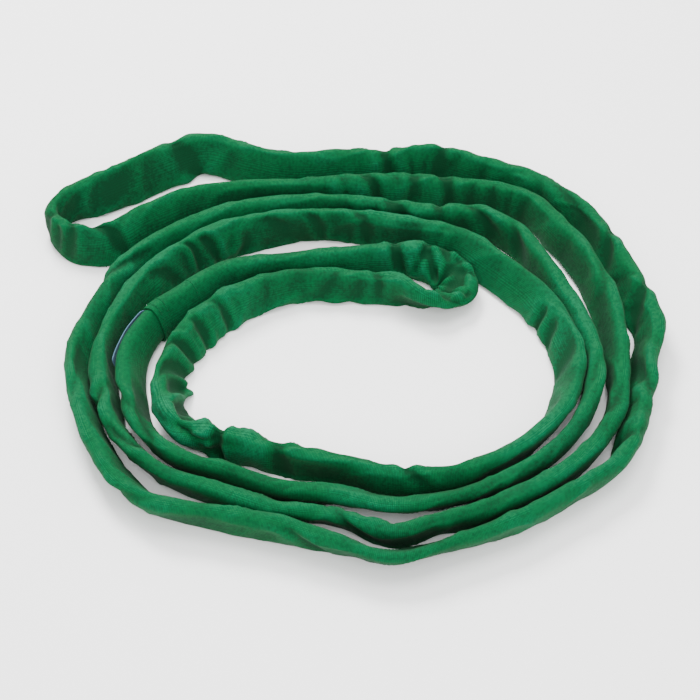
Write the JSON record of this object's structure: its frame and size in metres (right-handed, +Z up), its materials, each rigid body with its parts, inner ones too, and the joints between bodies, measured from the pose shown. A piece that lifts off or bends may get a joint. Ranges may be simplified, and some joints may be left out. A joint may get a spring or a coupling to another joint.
{
  "type": "round sling",
  "caption": "Endless polyester round sling, yarn core in a loose green woven jacket, lying in a slack coil.",
  "frame": {"origin": "on the floor, under the middle of the coil's outline", "axes": "+Z up from the floor that the coil lies on; +X along the coil's longer side, towards the side that its inner bight points to"},
  "size_m": [0.6702, 0.6264, 0.0447],
  "materials": {
    "jacket_cloth": "matte",
    "core_yarn": "satin",
    "binding_tape": "matte",
    "sewing_thread": "satin",
    "label_fabric": "matte",
    "label_thread": "satin"
  },
  "bodies": {
    "sling": {"jacket": "jacket_cloth", "core_yarn": "core_yarn", "core_end_tape": "binding_tape", "closure_stitches": "sewing_thread", "label_margin": "label_fabric", "label_stitches": "label_thread"},
    "label_flap": {"label": "label_fabric"}
  },
  "joints": [
    {"name": "label_swing", "type": "hinge", "parent": "sling", "child": "label_flap", "pos_m": [-0.20998, 0.01812, 0.01881], "axis": [0.3079, -0.1711, -0.9359], "range_deg": [0, 4]}
  ]
}
